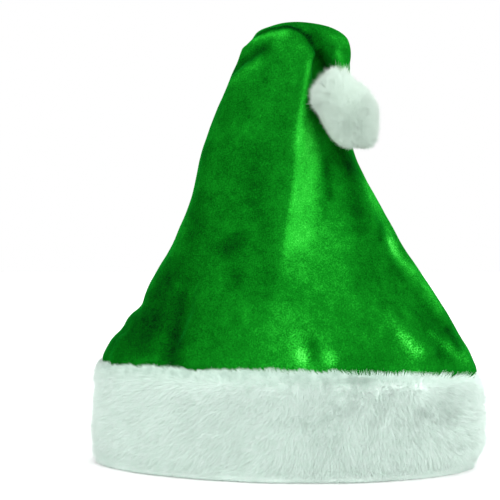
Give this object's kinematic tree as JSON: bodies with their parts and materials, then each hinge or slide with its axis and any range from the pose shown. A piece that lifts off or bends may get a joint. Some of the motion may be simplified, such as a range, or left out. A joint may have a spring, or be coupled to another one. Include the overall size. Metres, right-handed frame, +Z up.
{
  "type": "velvet_christmas_hat",
  "caption": "Green velvet Christmas hat standing on a deep white plush band, its soft tip folded over to one side and ending in a white plush pompom.",
  "frame": {"origin": "On the floor, at the middle of the band that the hat stands on", "axes": "+X towards the side that the tip flops to, +Y from the front of the hat, where the pompom hangs, to its back, +Z up from the open band to the folded tip"},
  "size_m": [0.2695, 0.164, 0.3012],
  "materials": {
    "velvet": "soft cut pile with a sheen, bright green where the nap catches light and nearly black in the folds",
    "plush": "long matte white pile with a cool tint"
  },
  "bodies": {
    "root": {"crown": "velvet", "fur_band": "plush", "pompom": "plush"}
  },
  "joints": []
}
